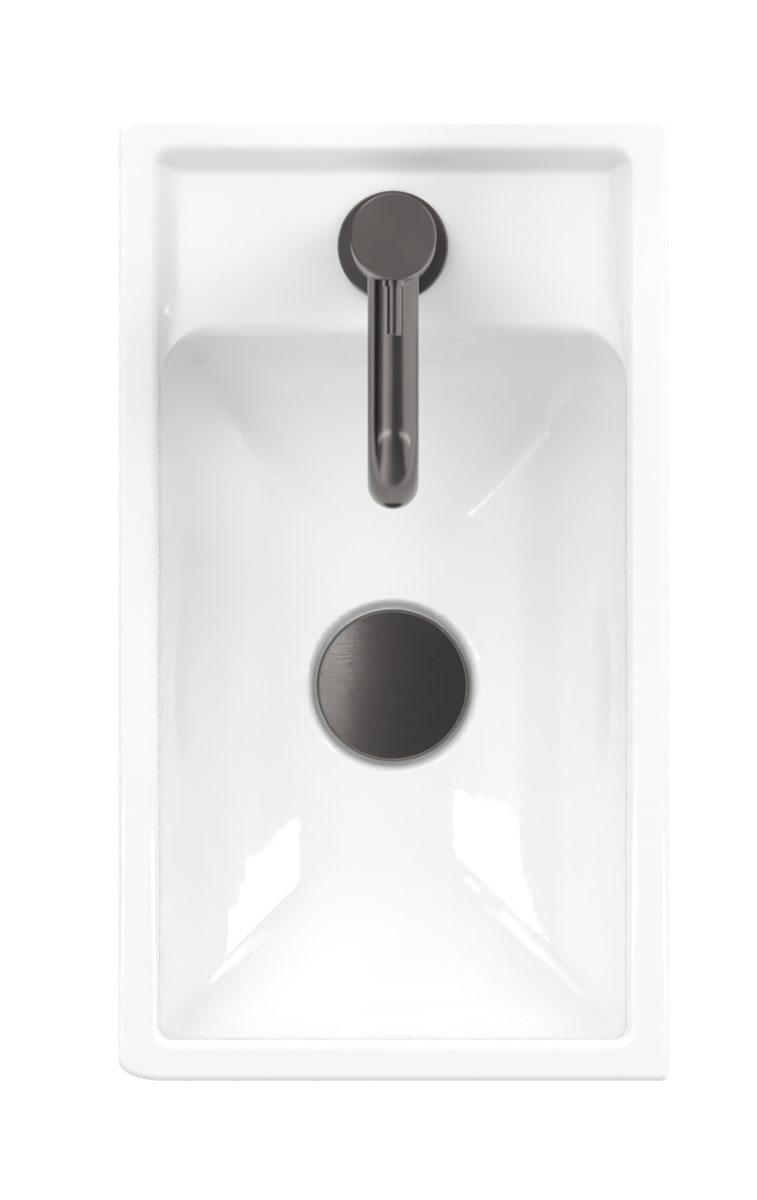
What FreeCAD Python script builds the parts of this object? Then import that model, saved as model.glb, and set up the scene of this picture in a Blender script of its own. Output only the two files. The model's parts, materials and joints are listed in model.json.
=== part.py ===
import FreeCAD, Part
import math
import os
import Sketcher

# Wall-hung cloakroom basin with a lever mixer tap and a push-down waste.
# Origin: middle of the wall face, level with the two wall-bolt holes.
# +X runs along the wall away from the tap, +Y runs into the wall, +Z is up.

doc = FreeCAD.newDocument("cloakroom_basin")
sheet = doc.addObject("Spreadsheet::Sheet", "sizes")

driving_sizes = {
    # basin, seen from above
    "basin_length": 400.0,
    "basin_width": 229.0,
    "basin_height": 130.0,
    "bolt_drop": 75.0,
    "wall_corner_radius": 3.6,
    "wall_grinding": 0.2,
    "tap_end_corner_radius": 6.0,
    "far_end_corner_radius": 8.5,
    "far_end_corner_spread": 18.5,
    "skirt_draft": 9.0,
    "rim_edge_radius": 3.0,
    "rim_inner_radius": 2.4,
    "skirt_foot_radius": 2.0,
    "rim_width_side": 17.4,
    "rim_width_tap_end": 14.6,
    "rim_width_far_end": 17.4,
    # lowered step inside the rim and the tap ledge
    "step_depth": 9.5,
    "step_corner_radius": 6.0,
    "ledge_cove_radius": 6.8,
    "ledge_side_cove_radius": 5.0,
    "ledge_thickness": 11.0,
    "ledge_length": 75.5,
    # bowl
    "bowl_drop": 66.0,
    "floor_half_width": 17.1,
    "floor_behind_waste": 55.9,
    "floor_before_waste": 66.6,
    "bowl_back_corner_radius": 20.0,
    "floor_back_corner_radius": 12.0,
    "bowl_back_edge_radius": 6.0,
    "bowl_wall": 9.5,
    # hollow under the basin
    "skirt_wall": 10.0,
    "hollow_roof_drop": 42.0,
    "hollow_corner_radius": 8.0,
    # holes in the ceramic
    "tap_hole_radius": 17.5,
    "bolt_from_end": 60.0,
    "bolt_hole_radius": 7.0,
    "waste_hole_radius": 22.5,
    "waste_recess_radius": 33.5,
    "waste_recess_depth": 5.5,
    "waste_recess_edge": 2.0,
    "waste_seat_thickness": 12.0,
    "waste_boss_radius": 34.0,
    # where the tap stands from its end of the basin, the waste from the middle
    "tap_from_end": 53.0,
    "waste_from_middle": 36.0,
    # clearances and cuts
    "running_clearance": 0.05,
    "loose_clearance": 0.3,
    "braze_clearance": 0.05,
    "thread_clearance": 0.05,
    "overrun": 5.0,
    # tap body
    "tap_body_radius": 17.5,
    "tap_body_height": 102.0,
    "tap_edge_chamfer": 0.6,
    "spigot_radius": 14.0,
    "chamber_radius": 12.6,
    "chamber_depth": 26.0,
    "nut_bore_radius": 14.0,
    "nut_bore_depth": 8.5,
    "inlet_port_radius": 4.5,
    "inlet_port_depth": 12.0,
    "inlet_channel_radius": 2.3,
    "inlet_offset_x": 3.0,
    "inlet_offset_y": 7.4,
    "outlet_channel_radius": 2.6,
    "outlet_offset_x": 4.5,
    "outlet_bore_radius": 4.4,
    "stud_offset_x": 8.0,
    "stud_hole_depth": 12.0,
    # base ring and seal
    "base_seal_thickness": 2.0,
    "base_seal_radius": 21.5,
    "base_seal_bore_radius": 13.2,
    "base_ring_radius": 23.0,
    "base_ring_height": 4.5,
    "base_ring_edge": 0.8,
    # spout
    "spout_radius": 10.5,
    "spout_wall": 1.5,
    "spout_level": 62.0,
    "spout_reach": 99.0,
    "spout_bend_radius": 24.0,
    "spout_end_drop": 6.0,
    "spout_socket_depth": 6.5,
    # nozzle in the mouth of the spout
    "aerator_height": 4.8,
    "aerator_wall": 1.2,
    "aerator_lip": 1.0,
    "aerator_seal_thickness": 1.2,
    "aerator_insert_height": 3.6,
    "aerator_hole_radius": 1.1,
    "aerator_hole_circle": 4.4,
    "aerator_seal_bore": 7.2,
    "aerator_lip_radius": 6.9,
    # mixing cartridge
    "cartridge_radius": 12.5,
    "cartridge_base_height": 4.0,
    "cartridge_slot_depth": 1.6,
    "port_seal_bore": 2.5,
    "port_seal_radius": 3.6,
    "port_seal_depth": 1.4,
    "disc_radius": 10.6,
    "disc_thickness": 3.0,
    "disc_inlet_radius": 2.0,
    "disc_inlet_x": 2.2,
    "disc_inlet_y": 4.4,
    "moving_disc_radius": 8.3,
    "mixing_pocket_radius": 4.2,
    "mixing_pocket_x": 3.2,
    "mixing_pocket_depth": 1.4,
    "slider_height": 5.0,
    "slider_socket_floor": 1.0,
    "ball_radius": 2.6,
    "housing_bore_radius": 11.2,
    "housing_neck_radius": 11.0,
    "housing_shoulder_drop": 8.0,
    "housing_top_drop": 1.0,
    "housing_lip_thickness": 1.1,
    "housing_lip_radius": 8.4,
    "carrier_radius": 9.4,
    "carrier_slot_length": 12.0,
    "carrier_seal_width": 1.0,
    "carrier_seal_drop": 5.4,
    "tilt_pin_radius": 1.5,
    "tilt_pin_drop": 5.5,
    "tilt_pin_end_gap": 0.6,
    "ball_drop": 6.5,
    "tilt_angle": 22.0,
    # handle
    "spindle_thickness": 6.0,
    "spindle_neck_radius": 2.0,
    "knob_gap": 1.0,
    "knob_height": 32.0,
    "knob_top_thickness": 8.0,
    "knob_wall": 3.2,
    "knob_boss_radius": 7.0,
    "knob_boss_lift": 6.0,
    "knob_edge_chamfer": 0.7,
    "lever_level": 16.0,
    "lever_radius": 3.25,
    "lever_reach": 39.8,
    "lever_collar_radius": 4.3,
    "lever_collar_length": 2.4,
    "lever_tip_chamfer": 0.6,
    "lever_thread_radius": 2.5,
    "screw_radius": 2.0,
    "screw_length": 6.0,
    "screw_socket_radius": 1.1,
    "screw_socket_depth": 2.5,
    "stem_roof_gap": 2.0,
    # what clamps the tap under the ledge
    "stud_radius": 4.0,
    "stud_length": 62.0,
    "clamp_radius": 25.0,
    "clamp_seal_thickness": 3.0,
    "clamp_washer_thickness": 2.0,
    "clamp_slot_width": 27.0,
    "clamp_slot_reach": 1.5,
    "clamp_nut_flats": 13.0,
    "clamp_nut_height": 12.0,
    # waste
    "flange_seal_thickness": 1.5,
    "flange_seal_radius": 31.0,
    "waste_flange_radius": 32.0,
    "waste_flange_height": 2.5,
    "waste_tube_radius": 20.95,
    "waste_tube_bore": 17.5,
    "waste_tube_length": 62.0,
    "waste_bar_width": 9.0,
    "waste_bar_height": 4.5,
    "waste_bar_level": 46.0,
    "waste_bar_hole": 4.0,
    "waste_bar_embed": 0.5,
    "waste_mouth_radius": 20.5,
    "waste_flange_edge": 0.8,
    "thread_groove_gap": 1.0,
    "thread_groove_width": 1.2,
    "thread_groove_depth": 0.5,
    "cone_seal_radius": 29.0,
    "cone_seal_height": 5.0,
    "cone_seal_nose": 4.0,
    "cone_seal_nose_radius": 22.0,
    "slip_washer_thickness": 1.5,
    "backnut_height": 9.0,
    "backnut_flats": 54.0,
    "backnut_rim_height": 2.0,
    # push-down mechanism
    "cap_radius": 31.6,
    "cap_edge_height": 3.0,
    "cap_crown": 1.6,
    "cap_edge_chamfer": 0.8,
    "cap_boss_radius": 6.0,
    "cap_boss_height": 1.6,
    "cap_boss_bore_depth": 1.2,
    "cap_seal_inner": 22.0,
    "cap_seal_outer": 25.0,
    "cap_seal_height": 1.4,
    "cap_seal_groove": 0.9,
    "cap_seat_gap": 0.1,
    "plunger_radius": 3.0,
    "plunger_collar_radius": 5.0,
    "plunger_collar_height": 3.0,
    "plunger_collar_level": 17.0,
    "rotor_gap": 0.05,
    "plunger_tail": 4.6,
    "sleeve_radius": 9.0,
    "sleeve_bore": 7.0,
    "sleeve_top_level": 1.6,
    "sleeve_roof": 2.0,
    "sleeve_floor": 1.2,
    "rotor_radius": 6.6,
    "rotor_height": 4.2,
    "rotor_tooth_height": 1.6,
    "rotor_tooth_width": 2.0,
    "rotor_tooth_inner": 5.2,
    "spring_radius": 5.0,
    "spring_wire_radius": 0.6,
}

tooth_count = 4
spring_turns = 4.4
wire_sides = 6
aerator_hole_count = 6
tolerance = 1e-5
# angles in degrees at which the bowl's loft takes a section
back_edge_angles = (90, 60, 30, 0)
cove_angles = (15, 30, 45, 60, 72, 82, 90)


class Size:
    # A value of the sheet, or a sum worked out from such values, kept both as a
    # number and as the expression that binds a property to the sheet.
    def __init__(self, text, value):
        self.text = text
        self.value = value

    def __add__(self, other):
        return joined(self, "+", other, self.value + value_of(other))

    def __radd__(self, other):
        return joined(other, "+", self, value_of(other) + self.value)

    def __sub__(self, other):
        return joined(self, "-", other, self.value - value_of(other))

    def __rsub__(self, other):
        return joined(other, "-", self, value_of(other) - self.value)

    def __mul__(self, other):
        return joined(self, "*", other, self.value * value_of(other))

    def __truediv__(self, other):
        return joined(self, "/", other, self.value / value_of(other))

    def __neg__(self):
        return Size("(0 - %s)" % self.text, -self.value)


def value_of(thing):
    return thing.value if isinstance(thing, Size) else float(thing)


def text_of(thing):
    return thing.text if isinstance(thing, Size) else repr(float(thing))


def joined(first, sign, second, value):
    return Size("(%s %s %s)" % (text_of(first), sign, text_of(second)), value)


def slope_of(angle):
    return Size("tan(%s * 1 deg)" % angle.text, math.tan(math.radians(angle.value)))


def cosine_of(angle):
    return Size("cos(%s * 1 deg)" % angle.text, math.cos(math.radians(angle.value)))


class Names:
    pass


def filled_sheet():
    named = Names()
    for row, (name, value) in enumerate(driving_sizes.items(), start=1):
        sheet.set("A%d" % row, name.replace("_", " "))
        sheet.set("B%d" % row, str(value))
        sheet.setAlias("B%d" % row, name)
    doc.recompute()
    for name in driving_sizes:
        setattr(named, name, Size("sizes." + name, float(sheet.get(name))))
    return named


at = filled_sheet()

# Levels and places that several pieces share, in the part's own frame

rim_level = at.bolt_drop
ledge_level = rim_level - at.step_depth
foot_level = rim_level - at.basin_height
floor_level = ledge_level - at.bowl_drop
seat_level = floor_level - at.waste_recess_depth
middle_y = -at.basin_width / 2
half_length = at.basin_length / 2
tap_x = at.tap_from_end - half_length
bowl_half_width = at.basin_width / 2 - at.rim_width_side
bowl_side_cove = bowl_half_width - at.floor_half_width
step_low_x = -half_length + at.rim_width_tap_end
bowl_low_x = step_low_x + at.ledge_length
bowl_high_x = half_length - at.rim_width_far_end
bowl_back_cove = at.waste_from_middle - at.floor_behind_waste - bowl_low_x
bowl_front_cove = bowl_high_x - at.waste_from_middle - at.floor_before_waste


# Helpers for bodies

def new_body(label, place_x, place_y, place_z):
    body = doc.addObject("PartDesign::Body", label)
    body.Label = label
    body.setExpression("Placement.Base.x", text_of(place_x))
    body.setExpression("Placement.Base.y", text_of(place_y))
    body.setExpression("Placement.Base.z", text_of(place_z))
    return body


def tap_piece(label):
    return new_body(label, tap_x, middle_y, ledge_level)


def waste_piece(label):
    return new_body(label, at.waste_from_middle, middle_y, seat_level)


def plane_of(body, role):
    return [plane for plane in body.Origin.OriginFeatures if plane.Role == role][0]


def new_sketch(body, role, level=0):
    sketch = body.newObject("Sketcher::SketchObject", "sketch")
    sketch.AttachmentSupport = [(plane_of(body, role), "")]
    sketch.MapMode = "FlatFace"
    if isinstance(level, Size):
        sketch.setExpression("AttachmentOffset.Base.z", level.text)
    return sketch


def hold(sketch, kind, geometry, point, place):
    # A point that lies on an axis is tied to it, any other is held at its distance.
    axis = -2 if kind == "DistanceX" else -1
    if not isinstance(place, Size):
        sketch.addConstraint(Sketcher.Constraint("PointOnObject", geometry, point, axis))
        return
    number = sketch.addConstraint(Sketcher.Constraint(kind, -1, 1, geometry, point, place.value))
    sketch.setExpression("Constraints[%d]" % number, place.text)


def polygon(sketch, points):
    corners = [FreeCAD.Vector(value_of(x), value_of(y), 0) for x, y in points]
    first = sketch.GeometryCount
    count = len(points)
    for index in range(count):
        sketch.addGeometry(Part.LineSegment(corners[index], corners[(index + 1) % count]), False)
    for index in range(count):
        following = first + (index + 1) % count
        sketch.addConstraint(Sketcher.Constraint("Coincident", first + index, 2, following, 1))
    for index, (x, y) in enumerate(points):
        hold(sketch, "DistanceX", first + index, 1, x)
        hold(sketch, "DistanceY", first + index, 1, y)


def circle(sketch, x, y, radius):
    centre = FreeCAD.Vector(value_of(x), value_of(y), 0)
    index = sketch.addGeometry(Part.Circle(centre, FreeCAD.Vector(0, 0, 1), radius.value), False)
    hold(sketch, "DistanceX", index, 3, x)
    hold(sketch, "DistanceY", index, 3, y)
    number = sketch.addConstraint(Sketcher.Constraint("Radius", index, radius.value))
    sketch.setExpression("Constraints[%d]" % number, radius.text)


def turned(body, points):
    # Full turn of a closed outline of (radius, height) points about the body's Z axis.
    sketch = new_sketch(body, "XZ_Plane")
    polygon(sketch, points)
    turn = body.newObject("PartDesign::Revolution", "turn")
    turn.Profile = sketch
    turn.ReferenceAxis = (sketch, ["V_Axis"])
    turn.Angle = 360
    doc.recompute()
    return body


def grooved(body, points):
    sketch = new_sketch(body, "XZ_Plane")
    polygon(sketch, points)
    turn = body.newObject("PartDesign::Groove", "groove")
    turn.Profile = sketch
    turn.ReferenceAxis = (sketch, ["V_Axis"])
    turn.Angle = 360
    doc.recompute()
    return body


def tube_outline(inner, outer, low, high):
    return [(inner, low), (outer, low), (outer, high), (inner, high)]


def add_feature(body, kind, sketch, length, reversed_side=False):
    feature = body.newObject("PartDesign::" + kind, kind.lower())
    feature.Profile = sketch
    feature.Reversed = reversed_side
    feature.setExpression("Length", length.text)
    doc.recompute()
    return feature


def drilled(body, x, y, radius, top, depth):
    # Round hole that runs down from the level top.
    sketch = new_sketch(body, "XY_Plane", top)
    circle(sketch, x, y, radius)
    return add_feature(body, "Pocket", sketch, depth)


def padded(body, points, low, height):
    sketch = new_sketch(body, "XY_Plane", low)
    polygon(sketch, points)
    return add_feature(body, "Pad", sketch, height)


def milled(body, points, top, depth):
    sketch = new_sketch(body, "XY_Plane", top)
    polygon(sketch, points)
    return add_feature(body, "Pocket", sketch, depth)


# Ceramic

def corner_arc(centre, quarter, radius, spread):
    # Quarter arc about its centre; spread is its reach along Y where that differs.
    start = quarter * math.pi / 2
    if spread == radius:
        ring = Part.Circle(centre, FreeCAD.Vector(0, 0, 1), radius)
        return Part.ArcOfCircle(ring, start, start + math.pi / 2)
    ring = Part.Ellipse(centre + FreeCAD.Vector(0, spread, 0), centre - FreeCAD.Vector(radius, 0, 0), centre)
    return Part.ArcOfEllipse(ring, start - math.pi / 2, start)


def rounded_outline(low_x, high_x, low_y, high_y, level, radii, last_spread=None):
    # Closed wire of four lines and four quarter arcs, radii in the order
    # high x high y, low x high y, low x low y, high x low y.
    corners = [(high_x, high_y, -1, -1), (low_x, high_y, 1, -1), (low_x, low_y, 1, 1), (high_x, low_y, -1, 1)]
    spreads = radii[:3] + [last_spread or radii[3]]
    arcs = []
    for quarter, ((x, y, inward_x, inward_y), radius, spread) in enumerate(zip(corners, radii, spreads)):
        centre = FreeCAD.Vector(x + inward_x * radius, y + inward_y * spread, level)
        arcs.append(corner_arc(centre, quarter, radius, spread))
    edges = []
    for arc, following in zip(arcs, arcs[1:] + arcs[:1]):
        edges.append(arc.toShape())
        edges.append(Part.makeLine(arc.EndPoint, following.StartPoint))
    return Part.Wire(edges)


def block(low_x, high_x, low_y, high_y, low, high, radii):
    face = Part.Face(rounded_outline(low_x, high_x, low_y, high_y, low, radii))
    return face.extrude(FreeCAD.Vector(0, 0, high - low))


def upright(x, y, radius, low, high):
    return Part.makeCylinder(radius, high - low, FreeCAD.Vector(x, y, low))


def bowl_section(depth, inset_share, flare, grown):
    # One level outline of the bowl. inset_share runs from 0 at the top of the
    # coves to 1 at the floor; flare opens the back edge towards the ledge; grown
    # is the wall's thickness where the outline is that of the underside.
    side = (bowl_side_cove.value + grown) * inset_share - grown
    back = (bowl_back_cove.value + grown) * inset_share - grown - flare
    front = (bowl_front_cove.value + grown) * inset_share - grown
    top_corner = at.bowl_back_corner_radius.value
    spread = grown * (1 - inset_share)
    back_corner = top_corner + (at.floor_back_corner_radius.value - top_corner) * inset_share + flare + spread
    front_corner = at.step_corner_radius.value + spread
    half = bowl_half_width.value - side
    middle = middle_y.value
    radii = [front_corner, back_corner, back_corner, front_corner]
    return rounded_outline(bowl_low_x.value + back, bowl_high_x.value - front,
                           middle - half, middle + half, ledge_level.value - depth, radii)


def bowl_form(grown):
    # Lofted body of the bowl: elliptical coves down to the floor outline.
    deep = at.bowl_drop.value + grown
    edge = 0 if grown else at.bowl_back_edge_radius.value
    sections = []
    if edge:
        for angle in back_edge_angles:
            turn = math.radians(angle)
            depth = edge * (1 - math.sin(turn))
            share = 1 - math.sqrt(1 - (depth / deep) ** 2)
            sections.append(bowl_section(depth, share, edge * (1 - math.cos(turn)), grown))
    else:
        sections.append(bowl_section(0, 0, 0, grown))
    for angle in cove_angles:
        turn = math.radians(angle)
        sections.append(bowl_section(deep * math.sin(turn), 1 - math.cos(turn), 0, grown))
    return Part.makeLoft(sections, True, False)


def outer_form():
    # Tapered outside of the basin, whose wall side is ground flat after casting.
    half = half_length.value
    low_y = -at.basin_width.value
    over = at.overrun.value
    draft = at.skirt_draft.value
    rim = rim_level.value
    foot = foot_level.value
    cast_y = at.wall_grinding.value
    wall_corner = at.wall_corner_radius.value
    corners = [wall_corner, wall_corner, at.tap_end_corner_radius.value, at.far_end_corner_radius.value]
    spread = at.far_end_corner_spread.value
    top = rounded_outline(-half, half, low_y, cast_y, rim, corners, spread)
    bottom = rounded_outline(-half + draft, half - draft, low_y + draft, cast_y, foot, corners, spread)
    form = Part.makeLoft([bottom, top], True, True)
    ground = Part.makeBox(2 * (half + over), 2 * over, rim - foot + 2 * over,
                          FreeCAD.Vector(-half - over, 0, foot - over))
    return form.cut(ground)


def basin_shape():
    rim = rim_level.value
    foot = foot_level.value
    half = half_length.value
    low_y = -at.basin_width.value
    middle = middle_y.value
    draft = at.skirt_draft.value
    shell = outer_form()
    over = at.overrun.value
    ledge = ledge_level.value
    side_low = middle - bowl_half_width.value
    side_high = middle + bowl_half_width.value
    back_corner = at.bowl_back_corner_radius.value + at.bowl_back_edge_radius.value
    back_x = bowl_low_x.value - at.bowl_back_edge_radius.value
    step_corner = at.step_corner_radius.value
    step = step_form(back_x + back_corner, side_low, side_high)
    mouth = block(back_x, bowl_high_x.value, side_low, side_high, ledge, rim + over,
                  [step_corner, back_corner, back_corner, step_corner])
    hollow = step.fuse([mouth, bowl_form(0)])

    x = at.waste_from_middle.value
    seat = seat_level.value
    thick = at.bowl_wall.value
    boss_foot = seat - at.waste_seat_thickness.value
    bulk = bowl_form(thick).fuse(upright(x, middle, at.waste_boss_radius.value, boss_foot, floor_level.value))
    wall = at.skirt_wall.value
    inner_low_x = -half + draft + wall
    inner_radii = [at.hollow_corner_radius.value] * 4
    under = block(inner_low_x, half - draft - wall, low_y + draft + wall, -wall, foot - over,
                  rim - at.hollow_roof_drop.value, inner_radii)
    under_ledge = block(inner_low_x, bowl_low_x.value, low_y + draft + wall, -wall, foot - over,
                        ledge - at.ledge_thickness.value, inner_radii)
    under = under.fuse(under_ledge).cut(bulk)

    shape = shell.cut(hollow).cut(under)
    shape = shape.cut(upright(x, middle, at.waste_recess_radius.value, seat, ledge))
    shape = shape.cut(upright(x, middle, at.waste_hole_radius.value, boss_foot - over, floor_level.value))
    shape = shape.cut(upright(tap_x.value, middle, at.tap_hole_radius.value,
                              ledge - at.ledge_thickness.value - over, ledge + over))
    for side in (-1, 1):
        start = FreeCAD.Vector(side * (half - at.bolt_from_end.value), over, 0)
        into = FreeCAD.Vector(0, -1, 0)
        shape = shape.cut(Part.makeCylinder(at.bolt_hole_radius.value, wall + 2 * over, start, into))
    shape = shape.removeSplitter()
    shape = rolled_edge(shape, rim_level.value, -1, at.rim_edge_radius.value)
    shape = rolled_edge(shape, rim_level.value, 0, at.rim_inner_radius.value)
    shape = rolled_edge(shape, foot_level.value, -1, at.skirt_foot_radius.value)
    return rolled_recess(shape, x, middle)


def rolled_edge(shape, level, which, radius):
    # Rolls the outer (-1) or the inner (0) edge of the flat face at that level.
    faces = [face for face in shape.Faces
             if abs(face.BoundBox.ZMin - level) < tolerance and abs(face.BoundBox.ZMax - level) < tolerance]
    wires = sorted(faces[0].Wires, key=lambda wire: wire.BoundBox.XLength)
    return shape.makeFillet(radius, wires[which].Edges)


def rolled_recess(shape, x, y):
    # Rolls the edge where the bowl drops into the recess of the waste.
    def on_brim(vertex):
        away = math.hypot(vertex.X - x, vertex.Y - y)
        return abs(away - at.waste_recess_radius.value) < tolerance

    above_seat = seat_level.value + tolerance
    brim = [edge for edge in shape.Edges
            if edge.BoundBox.ZMin > above_seat and all(on_brim(vertex) for vertex in edge.Vertexes)]
    return shape.makeFillet(at.waste_recess_edge.value, brim)


def coved_wall(start, corner, radius, end):
    # Wall and floor edges from start down to the corner and on to end, with a
    # quarter cove of that radius in the corner.
    down = (corner - start).normalize()
    along = (end - corner).normalize()
    leave = corner - down * radius
    land = corner + along * radius
    centre = leave + along * radius
    middle = centre + (down - along) * (radius / math.sqrt(2))
    return [Part.makeLine(start, leave), Part.Arc(leave, middle, land).toShape(), Part.makeLine(land, end)]


def step_form(end_x, low_y, high_y):
    # Lowered ledge: a coved trough along X, one along Y and the rounded plan.
    ledge = ledge_level.value
    top = rim_level.value + at.overrun.value
    low_x = step_low_x.value
    middle = (low_y + high_y) / 2
    corner = at.step_corner_radius.value

    def point(x, y, z):
        return FreeCAD.Vector(x, y, z)

    lengthwise = coved_wall(point(low_x, low_y, top), point(low_x, low_y, ledge),
                            at.ledge_cove_radius.value, point(end_x, low_y, ledge))
    lengthwise.append(Part.makeLine(point(end_x, low_y, ledge), point(end_x, low_y, top)))
    lengthwise.append(Part.makeLine(point(end_x, low_y, top), point(low_x, low_y, top)))
    first = Part.Face(Part.Wire(lengthwise)).extrude(point(0, high_y - low_y, 0))
    radius = at.ledge_side_cove_radius.value
    left = coved_wall(point(low_x, low_y, top), point(low_x, low_y, ledge), radius,
                      point(low_x, middle, ledge))
    right = coved_wall(point(low_x, high_y, top), point(low_x, high_y, ledge), radius,
                       point(low_x, middle, ledge))
    lid = Part.makeLine(point(low_x, low_y, top), point(low_x, high_y, top))
    across = Part.Wire(Part.__sortEdges__(left + right + [lid]))
    second = Part.Face(across).extrude(point(end_x - low_x, 0, 0))
    plan = block(low_x, end_x + corner, low_y, high_y, ledge, top, [corner] * 4)
    return first.common(second).common(plan)


def make_basin():
    basin = doc.addObject("Part::Feature", "basin")
    basin.Label = "basin"
    basin.Shape = basin_shape()
    return basin


# More helpers for the turned and milled pieces

def bored(body, x, y, radius, low, high):
    return drilled(body, x, y, radius, high, high - low)


def box_points(low_x, high_x, low_y, high_y):
    return [(low_x, low_y), (high_x, low_y), (high_x, high_y), (low_x, high_y)]


def hexagon(flats):
    corner = flats / math.sqrt(3)
    half = flats / 2
    half_corner = corner / 2
    return [(corner, 0), (half_corner, half), (-half_corner, half),
            (-corner, 0), (-half_corner, -half), (half_corner, -half)]


def along_x_hole(body, y, level, radius, high_x, length):
    # Round hole that runs from high_x towards -X.
    sketch = new_sketch(body, "YZ_Plane", high_x)
    circle(sketch, y, level, radius)
    return add_feature(body, "Pocket", sketch, length)


def across_hole(body, x, level, radius, length):
    # Round hole along Y, centred on the body's middle.
    sketch = new_sketch(body, "XZ_Plane")
    circle(sketch, x, level, radius)
    cut = add_feature(body, "Pocket", sketch, length)
    cut.Midplane = True
    doc.recompute()
    return cut


def repeated(body, feature, count):
    pattern = body.newObject("PartDesign::PolarPattern", "pattern")
    pattern.Originals = [feature]
    pattern.Axis = (feature.Profile[0], ["N_Axis"])
    pattern.Angle = 360
    pattern.Occurrences = count
    body.Tip = pattern
    doc.recompute()
    return pattern


# Tap, heights counted from the ledge

seal_top = at.base_seal_thickness
shoulder = at.base_ring_height
body_top = at.tap_body_height
chamber_floor = body_top - at.chamber_depth
socket_x = at.tap_body_radius - at.spout_socket_depth
spout_bore = at.spout_radius - at.spout_wall
mouth_level = at.spout_level - at.spout_bend_radius - at.spout_end_drop


def make_tap_body():
    body = tap_piece("tap_body")
    turned(body, [(0, seal_top), (at.spigot_radius, seal_top), (at.spigot_radius, shoulder),
                  (at.tap_body_radius, shoulder), (at.tap_body_radius, body_top - at.tap_edge_chamfer),
                  (at.tap_body_radius - at.tap_edge_chamfer, body_top),
                  (at.nut_bore_radius, body_top), (at.nut_bore_radius, body_top - at.nut_bore_depth),
                  (at.chamber_radius, body_top - at.nut_bore_depth),
                  (at.chamber_radius, chamber_floor), (0, chamber_floor)])
    port_top = seal_top + at.inlet_port_depth
    for side in (-1, 1):
        place_y = at.inlet_offset_y * side
        bored(body, at.inlet_offset_x, place_y, at.inlet_port_radius, seal_top - at.overrun, port_top)
        bored(body, at.inlet_offset_x, place_y, at.inlet_channel_radius,
              port_top - at.overrun, chamber_floor + at.overrun)
    bored(body, -at.stud_offset_x, 0, at.stud_radius + at.thread_clearance,
          seal_top - at.overrun, seal_top + at.stud_hole_depth)
    bored(body, -at.outlet_offset_x, 0, at.outlet_channel_radius,
          at.spout_level, chamber_floor + at.overrun)
    along_x_hole(body, 0, at.spout_level, at.spout_radius + at.braze_clearance,
                 at.tap_body_radius + at.overrun, at.spout_socket_depth + at.overrun)
    along_x_hole(body, 0, at.spout_level, at.outlet_bore_radius,
                 at.tap_body_radius, at.tap_body_radius + at.outlet_offset_x)
    return body


def make_base_ring():
    inner = at.spigot_radius + at.thread_clearance
    recess = at.base_seal_radius + at.loose_clearance
    edge = at.base_ring_edge
    body = tap_piece("base_ring")
    return turned(body, [(inner, seal_top), (recess, seal_top), (recess, at.loose_clearance),
                         (at.base_ring_radius, at.loose_clearance), (at.base_ring_radius, shoulder - edge),
                         (at.base_ring_radius - edge, shoulder), (inner, shoulder)])


def make_base_seal():
    body = tap_piece("base_seal")
    return turned(body, tube_outline(at.base_seal_bore_radius, at.base_seal_radius, 0, seal_top))


def spout_path(body):
    # Level run, quarter bend and short drop to the mouth.
    path = new_sketch(body, "XZ_Plane")
    start_x = socket_x + at.braze_clearance
    bend = at.spout_bend_radius
    bend_x = at.spout_reach - bend
    level = at.spout_level
    low = level - bend
    corner = FreeCAD.Vector(bend_x.value, level.value, 0)
    path.addGeometry(Part.LineSegment(FreeCAD.Vector(start_x.value, level.value, 0), corner), False)
    ring = Part.Circle(FreeCAD.Vector(bend_x.value, low.value, 0), FreeCAD.Vector(0, 0, 1), bend.value)
    path.addGeometry(Part.ArcOfCircle(ring, 0, math.pi / 2), False)
    mouth_x = at.spout_reach.value
    drop_start = FreeCAD.Vector(mouth_x, low.value, 0)
    drop_end = FreeCAD.Vector(mouth_x, mouth_level.value, 0)
    path.addGeometry(Part.LineSegment(drop_start, drop_end), False)
    hold(path, "DistanceX", 0, 1, start_x)
    hold(path, "DistanceY", 0, 1, level)
    hold(path, "DistanceX", 0, 2, bend_x)
    hold(path, "DistanceY", 0, 2, level)
    hold(path, "DistanceX", 1, 3, bend_x)
    hold(path, "DistanceY", 1, 3, low)
    path.addConstraint(Sketcher.Constraint("Coincident", 1, 2, 0, 2))
    path.addConstraint(Sketcher.Constraint("Coincident", 1, 1, 2, 1))
    hold(path, "DistanceX", 2, 2, at.spout_reach)
    hold(path, "DistanceY", 2, 2, mouth_level)
    hold(path, "DistanceY", 2, 1, low)
    return path


def make_spout():
    body = tap_piece("spout")
    path = spout_path(body)
    for kind, radius in (("AdditivePipe", at.spout_radius), ("SubtractivePipe", spout_bore)):
        section = new_sketch(body, "YZ_Plane", socket_x + at.braze_clearance)
        circle(section, 0, at.spout_level, radius)
        pipe = body.newObject("PartDesign::" + kind, kind.lower())
        pipe.Profile = section
        pipe.Spine = (path, ["Edge1", "Edge2", "Edge3"])
        doc.recompute()
    return body


def mouth_piece(label):
    return new_body(label, tap_x + at.spout_reach, middle_y, ledge_level + mouth_level)


aerator_radius = spout_bore - at.thread_clearance
aerator_bore = aerator_radius - at.aerator_wall


def make_aerator_housing():
    body = mouth_piece("aerator_housing")
    return turned(body, [(at.aerator_lip_radius, 0), (aerator_radius, 0), (aerator_radius, at.aerator_height),
                         (aerator_bore, at.aerator_height), (aerator_bore, at.aerator_lip),
                         (at.aerator_lip_radius, at.aerator_lip)])


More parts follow.
